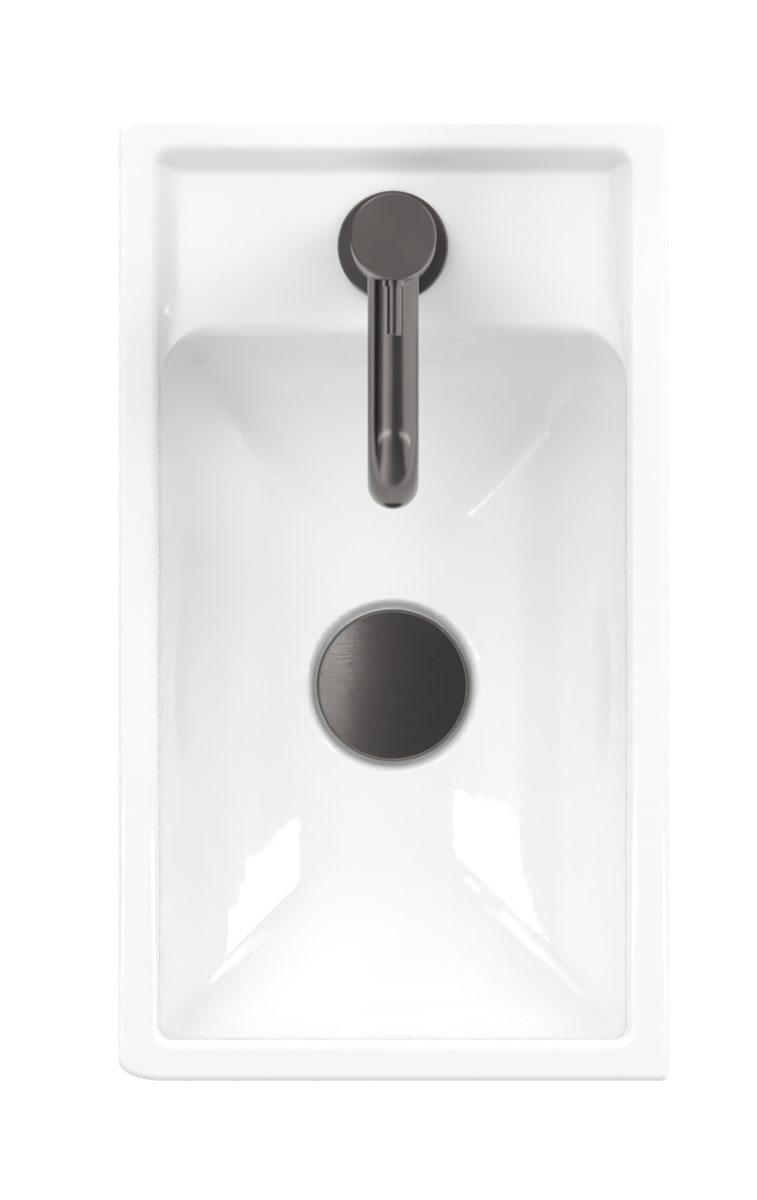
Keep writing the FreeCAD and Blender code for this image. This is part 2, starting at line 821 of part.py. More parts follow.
def make_aerator_insert():
    body = mouth_piece("aerator_insert")
    high = at.aerator_lip + at.aerator_insert_height
    outer = aerator_bore - at.thread_clearance
    turned(body, [(0, at.aerator_lip), (outer, at.aerator_lip), (outer, high), (0, high)])
    bored(body, 0, 0, at.aerator_hole_radius, at.aerator_lip - at.overrun, high)
    hole = bored(body, at.aerator_hole_circle, 0, at.aerator_hole_radius, at.aerator_lip - at.overrun, high)
    repeated(body, hole, aerator_hole_count)
    return body


def make_aerator_seal():
    body = mouth_piece("aerator_seal")
    low = at.aerator_height
    high = low + at.aerator_seal_thickness
    return turned(body, tube_outline(at.aerator_seal_bore, aerator_radius, low, high))


# Mixing cartridge, from its floor upwards

base_top = chamber_floor + at.cartridge_base_height
fixed_top = base_top + at.disc_thickness
moving_low = fixed_top + at.running_clearance
moving_top = moving_low + at.disc_thickness
slider_top = moving_top + at.slider_height
carrier_low = slider_top + at.loose_clearance
housing_shoulder = body_top - at.housing_shoulder_drop
housing_top = body_top - at.housing_top_drop
lip_low = housing_top - at.housing_lip_thickness
carrier_high = lip_low - at.loose_clearance
tilt_level = body_top - at.tilt_pin_drop
ball_level = tilt_level - at.ball_drop


def disc_holes(body, low, high):
    # The two inlets and the outlet through a ceramic disc.
    for side in (-1, 1):
        bored(body, at.disc_inlet_x, at.disc_inlet_y * side, at.disc_inlet_radius, low, high)
    bored(body, -at.outlet_offset_x, 0, at.outlet_channel_radius, low, high)


def make_cartridge_base():
    body = tap_piece("cartridge_base")
    turned(body, [(0, chamber_floor), (at.cartridge_radius, chamber_floor),
                  (at.cartridge_radius, base_top), (0, base_top)])
    below = chamber_floor - at.overrun
    recess_top = chamber_floor + at.port_seal_depth
    recess = at.port_seal_radius + at.thread_clearance
    slot_floor = base_top - at.cartridge_slot_depth
    for side in (-1, 1):
        port_y = at.inlet_offset_y * side
        bored(body, at.inlet_offset_x, port_y, at.inlet_channel_radius, below, slot_floor)
        bored(body, at.inlet_offset_x, port_y, recess, below, recess_top)
        slot = box_points(at.disc_inlet_x - at.disc_inlet_radius, at.inlet_offset_x + at.disc_inlet_radius,
                          at.disc_inlet_y * side, port_y)
        milled(body, slot, base_top, at.cartridge_slot_depth)
    bored(body, -at.outlet_offset_x, 0, at.outlet_channel_radius, below, base_top)
    bored(body, -at.outlet_offset_x, 0, recess, below, recess_top)
    return body


def seal_ring(name, x, y):
    outer = doc.addObject("Part::Cylinder", name + "_outer")
    inner = doc.addObject("Part::Cylinder", name + "_inner")
    outer.setExpression("Radius", at.port_seal_radius.text)
    inner.setExpression("Radius", at.port_seal_bore.text)
    for cylinder in (outer, inner):
        cylinder.setExpression("Height", at.port_seal_depth.text)
        cylinder.setExpression("Placement.Base.x", text_of(x))
        cylinder.setExpression("Placement.Base.y", text_of(y))
    ring = doc.addObject("Part::Cut", name)
    ring.Base = outer
    ring.Tool = inner
    return ring


def make_cartridge_seals():
    rings = [seal_ring("left_seal", at.inlet_offset_x, -at.inlet_offset_y),
             seal_ring("right_seal", at.inlet_offset_x, at.inlet_offset_y),
             seal_ring("outlet_seal", -at.outlet_offset_x, 0)]
    group = doc.addObject("Part::Compound", "cartridge_seals")
    group.Label = "cartridge_seals"
    group.Links = rings
    group.setExpression("Placement.Base.x", tap_x.text)
    group.setExpression("Placement.Base.y", middle_y.text)
    group.setExpression("Placement.Base.z", (ledge_level + chamber_floor).text)
    return group


def make_fixed_disc():
    body = tap_piece("fixed_disc")
    turned(body, [(0, base_top), (at.disc_radius, base_top), (at.disc_radius, fixed_top), (0, fixed_top)])
    disc_holes(body, base_top - at.overrun, fixed_top)
    return body


def make_moving_disc():
    body = tap_piece("moving_disc")
    turned(body, [(0, moving_low), (at.moving_disc_radius, moving_low),
                  (at.moving_disc_radius, moving_top), (0, moving_top)])
    bored(body, -at.mixing_pocket_x, 0, at.mixing_pocket_radius,
          moving_low - at.overrun, moving_low + at.mixing_pocket_depth)
    return body


def make_disc_slider():
    body = tap_piece("disc_slider")
    turned(body, [(0, moving_top), (at.moving_disc_radius, moving_top),
                  (at.moving_disc_radius, slider_top), (0, slider_top)])
    bored(body, 0, 0, at.ball_radius + at.loose_clearance,
          moving_top + at.slider_socket_floor, slider_top)
    return body


def make_cartridge_housing():
    body = tap_piece("cartridge_housing")
    bore = at.carrier_radius + at.running_clearance
    return turned(body, [(at.housing_bore_radius, base_top), (at.cartridge_radius, base_top),
                         (at.cartridge_radius, housing_shoulder), (at.housing_neck_radius, housing_shoulder),
                         (at.housing_neck_radius, housing_top), (at.housing_lip_radius, housing_top),
                         (at.housing_lip_radius, lip_low), (bore, lip_low),
                         (bore, carrier_low), (at.housing_bore_radius, carrier_low)])


def make_retaining_nut():
    body = tap_piece("retaining_nut")
    inner = at.housing_neck_radius + at.running_clearance
    outer = at.nut_bore_radius - at.thread_clearance
    return turned(body, tube_outline(inner, outer, housing_shoulder, body_top))


def make_cartridge_carrier():
    body = tap_piece("cartridge_carrier")
    turned(body, [(0, carrier_low), (at.carrier_radius, carrier_low),
                  (at.carrier_radius, carrier_high), (0, carrier_high)])
    half_length = at.carrier_slot_length / 2
    half_width = at.spindle_thickness / 2 + at.running_clearance
    milled(body, box_points(-half_length, half_length, -half_width, half_width),
           carrier_high, carrier_high - carrier_low)
    across_hole(body, 0, tilt_level, at.tilt_pin_radius + at.running_clearance, at.carrier_radius * 2)
    groove_high = carrier_high - at.carrier_seal_drop
    groove_low = groove_high - at.carrier_seal_width
    grooved(body, tube_outline(at.carrier_radius - at.carrier_seal_width, at.carrier_radius + at.overrun,
                               groove_low, groove_high))
    return body


def make_carrier_seal():
    high = carrier_high - at.carrier_seal_drop
    outer = at.carrier_radius
    return turned(tap_piece("carrier_seal"),
                  tube_outline(outer - at.carrier_seal_width, outer, high - at.carrier_seal_width, high))


def make_tilt_pin():
    body = tap_piece("tilt_pin")
    sketch = new_sketch(body, "XZ_Plane")
    circle(sketch, 0, tilt_level, at.tilt_pin_radius)
    pin = add_feature(body, "Pad", sketch, (at.carrier_radius - at.tilt_pin_end_gap) * 2)
    pin.Midplane = True
    return body


# Handle

knob_low = body_top + at.knob_gap
knob_high = knob_low + at.knob_height
knob_roof = knob_high - at.knob_top_thickness
stem_top = knob_roof - at.stem_roof_gap
lever_height = knob_low + at.lever_level
stem_half = at.spindle_thickness / 2


def make_spindle():
    body = tap_piece("spindle")
    neck_top = tilt_level - stem_half
    turned(body, [(0, ball_level), (at.spindle_neck_radius, ball_level),
                  (at.spindle_neck_radius, neck_top), (0, neck_top)])
    padded(body, box_points(-stem_half, stem_half, -stem_half, stem_half), neck_top, stem_top - neck_top)
    ball = body.newObject("PartDesign::AdditiveSphere", "ball")
    ball.setExpression("Radius", at.ball_radius.text)
    ball.setExpression("Placement.Base.z", ball_level.text)
    doc.recompute()
    across_hole(body, 0, tilt_level, at.tilt_pin_radius + at.running_clearance, at.spindle_thickness * 2)
    return body


def make_handle_knob():
    body = tap_piece("handle_knob")
    outer = at.tap_body_radius
    inner = outer - at.knob_wall
    edge = at.knob_edge_chamfer
    boss_low = knob_low + at.knob_boss_lift
    turned(body, [(inner, knob_low), (outer, knob_low), (outer, knob_high - edge), (outer - edge, knob_high),
                  (0, knob_high), (0, boss_low), (at.knob_boss_radius, boss_low),
                  (at.knob_boss_radius, knob_roof), (inner, knob_roof)])
    socket = stem_half + at.running_clearance
    milled(body, box_points(-socket, socket, -socket, socket), stem_top + at.loose_clearance,
           stem_top - boss_low + at.overrun)
    tilt_relief(body, outer)
    along_x_hole(body, 0, lever_height, at.lever_thread_radius + at.thread_clearance,
                 outer + at.overrun, outer + at.overrun - stem_half)
    along_x_hole(body, 0, lever_height, at.screw_radius + at.thread_clearance,
                 -stem_half, outer + at.overrun)
    return body


def tilt_relief(body, outer):
    # The foot of the knob is cut back behind the tilt pin, so that its rear
    # edge stays clear of the tap body when the lever is lifted.
    slope = slope_of(at.tilt_angle)
    start = tilt_level + (body_top - tilt_level + at.knob_gap / 2) / cosine_of(at.tilt_angle)
    reach = outer + at.overrun
    rear = start + reach * slope
    front = start - reach * slope
    sketch = new_sketch(body, "XZ_Plane")
    polygon(sketch, [(-reach, front), (reach, front), (-reach, rear)])
    cut = add_feature(body, "Pocket", sketch, reach * 2)
    cut.Midplane = True
    doc.recompute()


def lever_piece(label):
    return new_body(label, tap_x, middle_y, ledge_level + lever_height)


def lying_turn(body, points):
    # Full turn about the X axis of a closed outline of (along X, radius) points.
    sketch = new_sketch(body, "XZ_Plane")
    polygon(sketch, points)
    turn = body.newObject("PartDesign::Revolution", "turn")
    turn.Profile = sketch
    turn.ReferenceAxis = (sketch, ["H_Axis"])
    turn.Angle = 360
    doc.recompute()
    return body


def make_handle_lever():
    outer = at.tap_body_radius
    tip = at.lever_tip_chamfer
    collar = outer + at.lever_collar_length
    stub = stem_half + at.loose_clearance
    return lying_turn(lever_piece("handle_lever"),
                      [(stub, 0), (stub, at.lever_thread_radius), (outer, at.lever_thread_radius),
                       (outer, at.lever_collar_radius), (collar, at.lever_collar_radius),
                       (collar, at.lever_radius), (at.lever_reach - tip, at.lever_radius),
                       (at.lever_reach, at.lever_radius - tip), (at.lever_reach, 0)])


def make_handle_screw():
    near = -(stem_half + at.running_clearance)
    far = near - at.screw_length
    floor = far + at.screw_socket_depth
    return lying_turn(lever_piece("handle_screw"),
                      [(near, 0), (near, at.screw_radius), (far, at.screw_radius),
                       (far, at.screw_socket_radius), (floor, at.screw_socket_radius), (floor, 0)])


# What holds the tap under the ledge

under_ledge_level = -at.ledge_thickness


def horseshoe(label, high, thickness):
    body = tap_piece(label)
    low = high - thickness
    turned(body, [(0, low), (at.clamp_radius, low), (at.clamp_radius, high), (0, high)])
    half = at.clamp_slot_width / 2
    milled(body, box_points(-at.clamp_slot_reach, at.clamp_radius + at.overrun, -half, half), high, thickness)
    bored(body, -at.stud_offset_x, 0, at.stud_radius + at.loose_clearance, low, high)
    return body


clamp_seal_low = under_ledge_level - at.clamp_seal_thickness
clamp_washer_low = clamp_seal_low - at.clamp_washer_thickness


def make_clamp_stud():
    body = new_body("clamp_stud", tap_x - at.stud_offset_x, middle_y, ledge_level)
    high = seal_top + at.stud_hole_depth - at.loose_clearance
    low = high - at.stud_length
    return turned(body, [(0, low), (at.stud_radius, low), (at.stud_radius, high), (0, high)])


def make_clamp_nut():
    body = new_body("clamp_nut", tap_x - at.stud_offset_x, middle_y, ledge_level)
    low = clamp_washer_low - at.clamp_nut_height
    padded(body, hexagon(at.clamp_nut_flats), low, at.clamp_nut_height)
    bored(body, 0, 0, at.stud_radius + at.thread_clearance, low, clamp_washer_low)
    return body


# Waste, heights counted from the seat in the ceramic

flange_low = at.flange_seal_thickness
flange_top = flange_low + at.waste_flange_height
tube_low = flange_low - at.waste_tube_length
bar_low = -at.waste_bar_level
bar_top = bar_low + at.waste_bar_height
boss_low = -at.waste_seat_thickness
cone_low = boss_low - at.cone_seal_height
slip_low = cone_low - at.slip_washer_thickness
nut_low = slip_low - at.backnut_height
tube_fit = at.waste_tube_radius + at.loose_clearance


def make_waste_body():
    body = waste_piece("waste_body")
    edge = at.waste_flange_edge
    groove_radius = at.waste_tube_radius - at.thread_groove_depth
    groove_high = nut_low - at.thread_groove_gap
    groove_low = groove_high - at.thread_groove_width
    turned(body, [(at.waste_tube_bore, tube_low), (at.waste_tube_radius, tube_low),
                  (at.waste_tube_radius, groove_low), (groove_radius, groove_low),
                  (groove_radius, groove_high), (at.waste_tube_radius, groove_high),
                  (at.waste_tube_radius, flange_low), (at.waste_flange_radius, flange_low),
                  (at.waste_flange_radius, flange_top - edge), (at.waste_flange_radius - edge, flange_top),
                  (at.waste_mouth_radius, flange_top), (at.waste_tube_bore, 0)])
    reach = at.waste_tube_bore + at.waste_bar_embed
    half = at.waste_bar_width / 2
    padded(body, box_points(-reach, reach, -half, half), bar_low, at.waste_bar_height)
    bored(body, 0, 0, at.waste_bar_hole, bar_low - at.overrun, bar_top)
    return body


def make_waste_flange_seal():
    body = waste_piece("waste_flange_seal")
    return turned(body, tube_outline(tube_fit, at.flange_seal_radius, 0, flange_low))


def make_waste_cone_seal():
    nose_top = boss_low + at.cone_seal_nose
    return turned(waste_piece("waste_cone_seal"),
                  [(tube_fit, cone_low), (at.cone_seal_radius, cone_low), (at.cone_seal_radius, boss_low),
                   (at.cone_seal_nose_radius, boss_low), (at.cone_seal_nose_radius, nose_top),
                   (tube_fit, nose_top)])


def make_waste_slip_washer():
    return turned(waste_piece("waste_slip_washer"),
                  tube_outline(tube_fit, at.cone_seal_radius, slip_low, cone_low))


def make_waste_backnut():
    body = waste_piece("waste_backnut")
    rim_low = slip_low - at.backnut_rim_height
    outer = at.cone_seal_radius
    turned(body, [(0, rim_low), (outer, rim_low), (outer, slip_low), (0, slip_low)])
    padded(body, hexagon(at.backnut_flats), nut_low, rim_low - nut_low)
    bored(body, 0, 0, at.waste_tube_radius + at.thread_clearance, nut_low, slip_low)
    return body


# Push-down mechanism, drawn closed

cap_seal_proud = at.cap_seal_height - at.cap_seal_groove
cap_low = flange_top + at.cap_seat_gap + cap_seal_proud
cap_edge_top = cap_low + at.cap_edge_height
cap_top = cap_edge_top + at.cap_crown
cap_boss_low = cap_low - at.cap_boss_height
collar_low = -at.plunger_collar_level
collar_high = collar_low + at.plunger_collar_height
rotor_top = collar_low - at.rotor_gap
rotor_low = rotor_top - at.rotor_height
sleeve_top = -at.sleeve_top_level
sleeve_roof_low = sleeve_top - at.sleeve_roof
sleeve_floor = bar_top + at.sleeve_floor


def make_waste_cap():
    body = waste_piece("waste_cap")
    edge = at.cap_edge_chamfer
    sketch = new_sketch(body, "XZ_Plane")
    polygon(sketch, [(0, cap_low), (at.cap_radius, cap_low), (at.cap_radius, cap_edge_top - edge),
                     (at.cap_radius - edge, cap_edge_top), (0, cap_edge_top)])
    plate = body.newObject("PartDesign::Revolution", "plate")
    plate.Profile = sketch
    plate.ReferenceAxis = (sketch, ["V_Axis"])
    plate.Angle = 360
    doc.recompute()
    crown_on(body, at.cap_radius - edge, cap_edge_top, cap_top)
    boss = new_sketch(body, "XY_Plane", cap_boss_low)
    circle(boss, 0, 0, at.cap_boss_radius)
    add_feature(body, "Pad", boss, at.cap_boss_height)
    bored(body, 0, 0, at.plunger_radius + at.thread_clearance, cap_boss_low - at.overrun,
          cap_low + at.cap_boss_bore_depth)
    grooved(body, tube_outline(at.cap_seal_inner, at.cap_seal_outer, cap_low - at.overrun,
                               cap_low + at.cap_seal_groove))
    return body


def crown_on(body, radius, low, high):
    # Shallow dome on top of the plate, its arc centred on the axis.
    rise = high.value - low.value
    sphere = (radius.value ** 2 + rise ** 2) / (2 * rise)
    sketch = new_sketch(body, "XZ_Plane")
    foot = FreeCAD.Vector(radius.value, low.value, 0)
    top = FreeCAD.Vector(0, high.value, 0)
    base = FreeCAD.Vector(0, low.value, 0)
    ring = Part.Circle(FreeCAD.Vector(0, high.value - sphere, 0), FreeCAD.Vector(0, 0, 1), sphere)
    start = math.acos(radius.value / sphere)
    sketch.addGeometry(Part.LineSegment(base, foot), False)
    sketch.addGeometry(Part.ArcOfCircle(ring, start, math.pi / 2), False)
    sketch.addGeometry(Part.LineSegment(top, base), False)
    sketch.addConstraint(Sketcher.Constraint("Coincident", 0, 2, 1, 1))
    sketch.addConstraint(Sketcher.Constraint("Coincident", 1, 2, 2, 1))
    sketch.addConstraint(Sketcher.Constraint("Coincident", 2, 2, 0, 1))
    hold(sketch, "DistanceX", 0, 1, 0)
    hold(sketch, "DistanceY", 0, 1, low)
    hold(sketch, "DistanceX", 0, 2, radius)
    hold(sketch, "DistanceY", 0, 2, low)
    hold(sketch, "DistanceX", 2, 1, 0)
    hold(sketch, "DistanceY", 2, 1, high)
    sketch.addConstraint(Sketcher.Constraint("PointOnObject", 1, 3, -2))
    dome = body.newObject("PartDesign::Revolution", "dome")
    dome.Profile = sketch
    dome.ReferenceAxis = (sketch, ["V_Axis"])
    dome.Angle = 360
    doc.recompute()


def make_waste_cap_seal():
    inner = at.cap_seal_inner
    outer = at.cap_seal_outer
    low = cap_low - cap_seal_proud
    high = cap_low + at.cap_seal_groove
    return turned(waste_piece("waste_cap_seal"), tube_outline(inner, outer, low, high))


def make_waste_plunger():
    rod = at.plunger_radius
    collar = at.plunger_collar_radius
    top = cap_low + at.cap_boss_bore_depth
    low = rotor_low - at.plunger_tail
    return turned(waste_piece("waste_plunger"),
                  [(0, low), (rod, low), (rod, collar_low), (collar, collar_low),
                   (collar, collar_high), (rod, collar_high), (rod, top), (0, top)])


def make_click_sleeve():
    spigot = at.waste_bar_hole - at.thread_clearance
    way = at.plunger_radius + at.loose_clearance
    return turned(waste_piece("click_sleeve"),
                  [(0, bar_low), (spigot, bar_low), (spigot, bar_top), (at.sleeve_radius, bar_top),
                   (at.sleeve_radius, sleeve_top), (way, sleeve_top), (way, sleeve_roof_low),
                   (at.sleeve_bore, sleeve_roof_low), (at.sleeve_bore, sleeve_floor), (0, sleeve_floor)])


def make_click_rotor():
    body = waste_piece("click_rotor")
    bore = at.plunger_radius + at.running_clearance
    turned(body, tube_outline(bore, at.rotor_radius, rotor_low, rotor_top))
    half = at.rotor_tooth_width / 2
    sketch = new_sketch(body, "XY_Plane", rotor_top)
    polygon(sketch, box_points(at.rotor_tooth_inner, at.rotor_radius - at.loose_clearance, -half, half))
    tooth = add_feature(body, "Pad", sketch, at.rotor_tooth_height)
    repeated(body, tooth, tooth_count)
    return body


def make_click_spring():
    # Wire wound about the plunger's tail, between the sleeve's floor and the rotor.
    wire = at.spring_wire_radius.value
    low = sleeve_floor.value + wire
    height = rotor_low.value - wire - low
    radius = at.spring_radius.value
    helix = Part.makeHelix(height / spring_turns, height, radius)
    corners = []
    for side in range(wire_sides + 1):
        turn = 2 * math.pi * side / wire_sides
        corners.append(FreeCAD.Vector(radius + wire * math.cos(turn), 0, wire * math.sin(turn)))
    shape = Part.Wire(helix.Edges).makePipeShell([Part.makePolygon(corners)], True, True)
    spring = doc.addObject("Part::Feature", "click_spring")
    spring.Label = "click_spring"
    spring.Shape = shape
    foot = FreeCAD.Vector(at.waste_from_middle.value, middle_y.value, seat_level.value + low)
    spring.Placement = FreeCAD.Placement(foot, FreeCAD.Rotation())
    return spring


# Whole part

def build():
    pieces = [make_basin(), make_tap_body(), make_base_ring(), make_base_seal(), make_spout(),
              make_aerator_housing(), make_aerator_insert(), make_aerator_seal()]
    pieces += [make_cartridge_base(), make_cartridge_seals(), make_fixed_disc(), make_moving_disc(),
               make_disc_slider(), make_cartridge_housing(), make_retaining_nut()]
    pieces += [make_cartridge_carrier(), make_carrier_seal(), make_tilt_pin()]
    pieces += [make_spindle(), make_handle_knob(), make_handle_lever(), make_handle_screw()]
    pieces += [make_clamp_stud(), horseshoe("clamp_seal", under_ledge_level, at.clamp_seal_thickness),
               horseshoe("clamp_washer", clamp_seal_low, at.clamp_washer_thickness), make_clamp_nut()]
    pieces += [make_waste_body(), make_waste_flange_seal(), make_waste_cone_seal(),
               make_waste_slip_washer(), make_waste_backnut()]
    pieces += [make_waste_cap(), make_waste_cap_seal(), make_waste_plunger(), make_click_sleeve(),
               make_click_rotor(), make_click_spring()]
    doc.recompute()
    return pieces


def write_pieces(pieces):
    failed = [thing.Name for thing in doc.Objects if "Invalid" in thing.State or "Error" in thing.State]
    if failed:
        raise RuntimeError("objects failed: " + ", ".join(failed))
    for piece in pieces:
        if piece.Shape.isNull() or not piece.Shape.isValid() or not piece.Shape.Solids:
            raise RuntimeError("no valid solid: " + piece.Label)
    os.makedirs("parts", exist_ok=True)
    for piece in pieces:
        piece.Shape.exportStep("parts/%s.step" % piece.Label)
        print("%-20s %10.1f mm3  %d solids" % (piece.Label, piece.Shape.Volume, len(piece.Shape.Solids)))


write_pieces(build())
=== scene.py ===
import bpy
import bmesh
import json
import math
from mathutils import Matrix, Vector

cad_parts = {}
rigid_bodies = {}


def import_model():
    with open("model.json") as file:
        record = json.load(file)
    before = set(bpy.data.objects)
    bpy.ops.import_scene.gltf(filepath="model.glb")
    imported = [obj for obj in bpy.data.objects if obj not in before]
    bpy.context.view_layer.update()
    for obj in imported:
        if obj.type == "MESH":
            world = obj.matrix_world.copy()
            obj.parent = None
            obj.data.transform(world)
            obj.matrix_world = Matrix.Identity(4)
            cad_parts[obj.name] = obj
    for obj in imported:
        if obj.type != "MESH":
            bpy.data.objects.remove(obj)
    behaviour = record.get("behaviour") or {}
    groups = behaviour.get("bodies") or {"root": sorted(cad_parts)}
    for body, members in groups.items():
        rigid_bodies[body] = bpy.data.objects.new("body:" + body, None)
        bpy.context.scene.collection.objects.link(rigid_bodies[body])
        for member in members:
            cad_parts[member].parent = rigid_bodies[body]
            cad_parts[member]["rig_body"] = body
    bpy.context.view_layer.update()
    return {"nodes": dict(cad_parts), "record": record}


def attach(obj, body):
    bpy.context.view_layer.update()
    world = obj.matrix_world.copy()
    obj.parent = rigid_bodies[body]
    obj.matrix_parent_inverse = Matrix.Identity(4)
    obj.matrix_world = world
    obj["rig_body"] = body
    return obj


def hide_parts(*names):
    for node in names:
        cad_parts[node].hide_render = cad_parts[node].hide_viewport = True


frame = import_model()
print("frame loaded:", len(frame["nodes"]), "nodes")

# Places in metres: the basin hangs on the wall plane y = 0, its length runs along x
middleY = -0.1145
rimLevel = 0.075
ledgeLevel = 0.0655
seatLevel = -0.006
tapX = -0.147
wasteX = 0.036


# Shader maths

class Wire:
    # one output socket in a material; sums and products of it add Math nodes
    def __init__(self, maker, socket):
        self.maker = maker
        self.socket = socket

    def math(self, operation, first, second=0.0):
        return self.maker.node("ShaderNodeMath", {"operation": operation}, {0: first, 1: second})

    def __add__(self, other):
        return self.math("ADD", self, other)

    __radd__ = __add__

    def __sub__(self, other):
        return self.math("SUBTRACT", self, other)

    def __rsub__(self, other):
        return self.math("SUBTRACT", other, self)

    def __mul__(self, other):
        return self.math("MULTIPLY", self, other)

    __rmul__ = __mul__

    def __truediv__(self, other):
        return self.math("DIVIDE", self, other)

    def __rtruediv__(self, other):
        return self.math("DIVIDE", other, self)

    def __gt__(self, other):
        return self.math("GREATER_THAN", self, other)

    def __lt__(self, other):
        return self.math("LESS_THAN", self, other)


class Maker:
    # adds nodes to a node tree
    def __init__(self, tree):
        self.nodes = tree.nodes
        self.links = tree.links

    def node(self, kind, settings, values, output=0):
        made = self.nodes.new(kind)
        for name, value in settings.items():
            if name == "stops":
                self.setStops(made.color_ramp, value)
            else:
                setattr(made, name, value)
        for socket, value in values.items():
            self.join(value, made.inputs[socket])
        return Wire(self, made.outputs[output])

    def setStops(self, ramp, stops):
        while len(ramp.elements) < len(stops):
            ramp.elements.new(1)
        for element, (position, grey) in zip(ramp.elements, stops):
            element.position = position
            element.color = (grey, grey, grey, 1)

    def join(self, value, socket):
        if isinstance(value, Wire):
            self.links.new(value.socket, socket)
        else:
            socket.default_value = value

    def axes(self, source):
        made = self.nodes.new("ShaderNodeSeparateXYZ")
        self.join(source, made.inputs[0])
        return [Wire(self, output) for output in made.outputs]


socketNames = {"colour": "Base Color", "roughness": "Roughness", "metallic": "Metallic", "normal": "Normal",
               "glow": "Emission Color", "glowStrength": "Emission Strength"}


class Paint(Maker):
    # a material under construction around its shader
    def __init__(self, name):
        self.material = bpy.data.materials.new(name)
        self.material.use_nodes = True
        super().__init__(self.material.node_tree)
        self.shader = self.nodes["Principled BSDF"]
        self.place = self.node("ShaderNodeTexCoord", {}, {}, "Object")

    def feed(self, **values):
        for name, value in values.items():
            self.join(value, self.shader.inputs[socketNames[name]])

    def stretched(self, scale):
        return self.node("ShaderNodeMapping", {}, {"Vector": self.place, "Scale": scale})

    def noise(self, source, scale, detail, roughness=0.5):
        values = {"Vector": source, "Scale": scale, "Detail": detail, "Roughness": roughness}
        return self.node("ShaderNodeTexNoise", {}, values)

    def between(self, factor, low, high):
        return low + factor * (high - low)

    def mixed(self, factor, first, second):
        values = {0: factor, 6: first, 7: second}
        return self.node("ShaderNodeMix", {"data_type": "RGBA"}, values, 2)

    def tinted(self, factor, first, second):
        return self.mixed(factor, (*first, 1), (*second, 1))

    def sight(self, ray):
        return self.node("ShaderNodeLightPath", {}, {}, ray)

    def bump(self, height, distance, strength):
        values = {"Strength": strength, "Distance": distance, "Height": height}
        self.feed(normal=self.node("ShaderNodeBump", {}, values))


# Finishes

# glaze, and the clay where the wall face and the foot are ground bare
glazeLook = {"white": (0.93, 0.93, 0.925), "cool": (0.905, 0.91, 0.91), "roughness": (0.02, 0.04),
             "cloudScale": 14, "waveScale": 38, "waveHeight": 0.0003, "waveStrength": 0.25,
             "bareWall": -0.0002, "bareFoot": -0.05495, "bareDark": (0.66, 0.6, 0.52),
             "bareLight": (0.74, 0.69, 0.61), "bareRoughness": 0.8, "grainScale": 900, "grainShare": 0.3}


def glazePaint():
    look = glazeLook
    paint = Paint("glaze")
    y, z = paint.axes(paint.place)[1:]
    clouds = paint.noise(paint.place, look["cloudScale"], detail=3)
    waves = paint.noise(paint.place, look["waveScale"], detail=2)
    grain = paint.noise(paint.place, look["grainScale"], detail=4)
    bare = paint.node("ShaderNodeMath", {"operation": "MAXIMUM"},
                      {0: y > look["bareWall"], 1: z < look["bareFoot"]})
    glazed = paint.tinted(clouds, look["cool"], look["white"])
    clay = paint.tinted(grain, look["bareDark"], look["bareLight"])
    smoothest, roughest = look["roughness"]
    glazedRoughness = paint.between(clouds, smoothest, roughest)
    paint.feed(colour=paint.mixed(bare, glazed, clay),
               roughness=glazedRoughness * (1 - bare) + bare * look["bareRoughness"])
    relief = waves * (1 - bare) + grain * bare * look["grainShare"]
    paint.bump(relief, look["waveHeight"], look["waveStrength"])
    return paint.material


# gunmetal plating over brushed brass
platingLook = {"colour": (0.205, 0.194, 0.184), "dark": (0.165, 0.156, 0.148), "strokeShare": 0.7,
               "cloudScale": 40, "strokeStrength": 0.35, "strokeContrast": 0.6}
# brushed in straight strokes, along the axis whose scale is small
brushedLook = {
    "lengthwise": {"name": "gunmetalTube", "scale": (60, 5200, 5200), "roughness": (0.17, 0.25),
                   "depth": 0.00001},
    "across": {"name": "gunmetalCap", "scale": (1500, 35, 1500), "roughness": (0.09, 0.2), "depth": 0.00022},
}
# brushed in rings round an upright axis
turnedLook = {
    "tapTurned": {"name": "gunmetalTap", "centreX": tapX, "roughness": (0.14, 0.22), "depth": 0.00002},
    "knobTurned": {"name": "gunmetalKnob", "centreX": tapX, "roughness": (0.26, 0.36), "depth": 0.0001},
    "wasteTurned": {"name": "gunmetalWaste", "centreX": wasteX, "roughness": (0.16, 0.26), "depth": 0.00002},
}
ringScales = {"across": 5200, "along": 60}


def brushedPaint(look):
    paint = Paint(look["name"])
    source = paint.stretched(look["scale"])
    strokes = paint.noise(source, scale=1, detail=4, roughness=platingLook["strokeContrast"])
    return platedPaint(paint, strokes, look)


def turnedPaint(look):
    paint = Paint(look["name"])
    x, y, z = paint.axes(paint.place)
    fine = ringScales["across"]
    coarse = ringScales["along"]
    fromAxis = {0: x - look["centreX"], 1: y - middleY, 2: 0.0}
    away = paint.node("ShaderNodeVectorMath", {"operation": "LENGTH"},
                      {0: paint.node("ShaderNodeCombineXYZ", {}, fromAxis)}, 1)
    rings = {0: away * fine, 1: z * fine, 2: x * coarse + y * coarse}
    lines = paint.node("ShaderNodeCombineXYZ", {}, rings)
    strokes = paint.noise(lines, scale=1, detail=3, roughness=platingLook["strokeContrast"])
    return platedPaint(paint, strokes, look)


